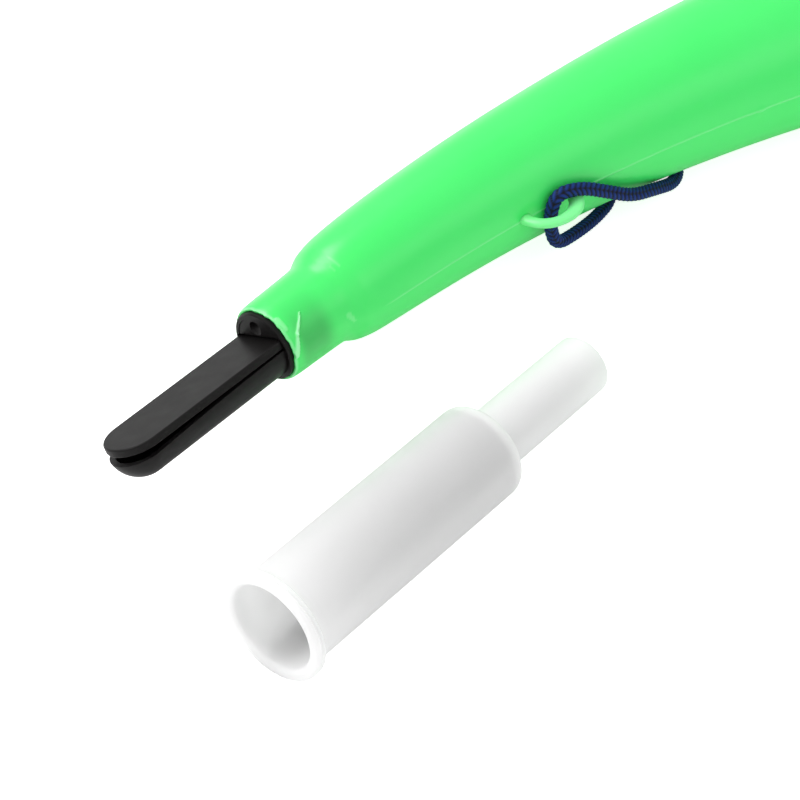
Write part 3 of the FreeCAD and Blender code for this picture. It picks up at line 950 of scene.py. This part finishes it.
SLEEVE_RADIUS = 12.5
SLEEVE_LENGTH = 76.6
FLANGE_RADIUS = 14.5
STEM_LENGTH = 38.6
STEM_RADIUS = 7.9
SOCKET_MIDDLE = 36.25                   # from the flange's face to the middle of the socket
SLEEVE_SIDES = 96
FLANGE_EDGE = 1.0                       # radius of the flange's rounded rim
FLANGE_FLAT = 0.1                       # between its two roundings
FLANGE_FOOT = 3.3                       # radius where the flange runs into the sleeve
FOOT_END = 5.6
SHOULDER_ROUND = 2.6
SLEEVE_END_WALL = 2.6
STEM_ROOT = 1.2
TIP_ROUND = 0.8
TIP_FLAT = 0.1
TIP_BORE_ROUND = 0.6
FLOOR_EASE = 0.3
FLOOR_ROUND = 1.5
BORE_MOUTH_ROUND = 1.2
STEM_TAPER = 0.02                       # that each of the stem's loops is narrower


def arc_points(centre, radius, start, end, count):
    """Points of an arc in (axial, radial) millimetres; angles in degrees, 0 towards the stem's tip."""
    found = []
    for n in range(count + 1):
        angle = math.radians(start + (end - start) * n / count)
        found.append((centre[0] + radius * math.cos(angle), centre[1] + radius * math.sin(angle)))
    return found


def mouthpiece_outline(bore, stem_bore):
    """Closed outline of the mouthpiece's wall: outside from flange to tip, then back through its bore."""
    tip = SLEEVE_LENGTH + STEM_LENGTH
    floor = SLEEVE_LENGTH - SLEEVE_END_WALL
    rim = FLANGE_RADIUS - FLANGE_EDGE
    outline = arc_points((FLANGE_EDGE, rim), FLANGE_EDGE, 180, 90, 8)
    outline += arc_points((FLANGE_EDGE + FLANGE_FLAT, rim), FLANGE_EDGE, 90, 10, 7)
    outline += arc_points((FOOT_END, SLEEVE_RADIUS + FLANGE_FOOT), FLANGE_FOOT, 205, 270, 6)
    outline += [(12.0 + 8.0 * n, SLEEVE_RADIUS) for n in range(8)]
    outline += arc_points((SLEEVE_LENGTH - SHOULDER_ROUND, SLEEVE_RADIUS - SHOULDER_ROUND), SHOULDER_ROUND,
                          90, 8, 8)
    outline += arc_points((SLEEVE_LENGTH + STEM_ROOT + 0.1, STEM_RADIUS + STEM_ROOT), STEM_ROOT, 180, 268, 5)
    outline += [(SLEEVE_LENGTH + 4.0 + 6.0 * n, STEM_RADIUS - STEM_TAPER * n) for n in range(6)]
    outline += arc_points((tip - TIP_ROUND, STEM_RADIUS - TIP_ROUND - TIP_FLAT), TIP_ROUND, 90, 0, 4)
    outline += arc_points((tip - TIP_BORE_ROUND, stem_bore + TIP_BORE_ROUND), TIP_BORE_ROUND, 0, -90, 3)
    outline += [(tip - 6.0 - 7.0 * n, stem_bore) for n in range(5)]
    outline += [(floor + FLOOR_EASE, stem_bore), (floor, stem_bore + FLOOR_EASE)]
    outline += arc_points((floor - FLOOR_ROUND, bore - FLOOR_ROUND), FLOOR_ROUND, 0, 90, 4)
    outline += [(floor - 8.0 - 9.0 * n, bore) for n in range(7)]
    outline += arc_points((BORE_MOUTH_ROUND, bore + BORE_MOUTH_ROUND), BORE_MOUTH_ROUND, -90, -180, 7)
    return outline


class HORN_OT_mouthpiece(bpy.types.Operator):
    """White mouthpiece: flanged sleeve with a narrower stem"""
    bl_idname = "horn.mouthpiece"
    bl_label = "Mouthpiece"

    def execute(self, context):
        socket = MOUNTS["mouthpiece_socket"]
        bore = MOUNTS["stem_bore"]
        along = -Vector(bore["axis"]).normalized()
        left = Vector((0, 0, 1)).cross(along).normalized()
        up = along.cross(left)
        start = Vector(socket["pos_m"]) - along * (SOCKET_MIDDLE * MM)
        outline = mouthpiece_outline(socket["dims"]["r_mm"], bore["dims"]["r_mm"])
        rings = []
        for axial, radial in outline:
            ring = []
            for i in range(SLEEVE_SIDES):
                angle = 2 * math.pi * i / SLEEVE_SIDES
                ring.append(start + along * (axial * MM)
                            + (left * math.cos(angle) + up * math.sin(angle)) * (radial * MM))
            rings.append(ring)
        piece = drawn("mouthpiece_sleeve", rings)
        smoothed(piece, 50.0)
        painted(piece, "white", "white_polyethylene", "mouthpiece", "mouthpiece")
        return {"FINISHED"}


# --- reed ---------------------------------------------------------------------------------------------------

class HORN_OT_reed(bpy.types.Operator):
    """Black reed: trough with its plug, tongue and wedge"""
    bl_idname = "horn.reed"
    bl_label = "Reed"

    def execute(self, context):
        for name in ("reed_trough", "reed_tongue", "reed_wedge"):
            node = frame["nodes"][name]
            node.data.materials.clear()
            node.data.materials.append(finish_of("black"))
        return {"FINISHED"}


# --- panel and registration ---------------------------------------------------------------------------------

STEPS = (HORN_OT_stage, HORN_OT_lanyard, HORN_OT_shell, HORN_OT_mouthpiece, HORN_OT_reed)


class HORN_PT_panel(bpy.types.Panel):
    """Lists the pieces in the order they are made"""
    bl_label = "Reed blow horn"
    bl_idname = "HORN_PT_panel"
    bl_space_type = "VIEW_3D"
    bl_region_type = "UI"
    bl_category = "Horn"

    def draw(self, context):
        for step in STEPS:
            self.layout.operator(step.bl_idname)
        for group in (context.scene.horn_sizes, context.scene.lanyard_sizes, context.scene.horn_finishes):
            for name in group.__annotations__:
                self.layout.prop(group, name)


GROUPS = {"horn_sizes": HornSizes, "lanyard_sizes": LanyardSizes, "horn_finishes": Finishes}


def register():
    for cls in (*GROUPS.values(), *STEPS, HORN_PT_panel):
        bpy.utils.register_class(cls)
    for name, group in GROUPS.items():
        setattr(bpy.types.Scene, name, PointerProperty(type=group))


def unregister():
    for name in GROUPS:
        delattr(bpy.types.Scene, name)
    for cls in reversed((*GROUPS.values(), *STEPS, HORN_PT_panel)):
        bpy.utils.unregister_class(cls)


def main():
    register()
    bpy.ops.horn.stage()
    bpy.ops.horn.lanyard()
    bpy.ops.horn.shell()
    bpy.ops.horn.mouthpiece()
    bpy.ops.horn.reed()


if __name__ == "__main__":
    main()
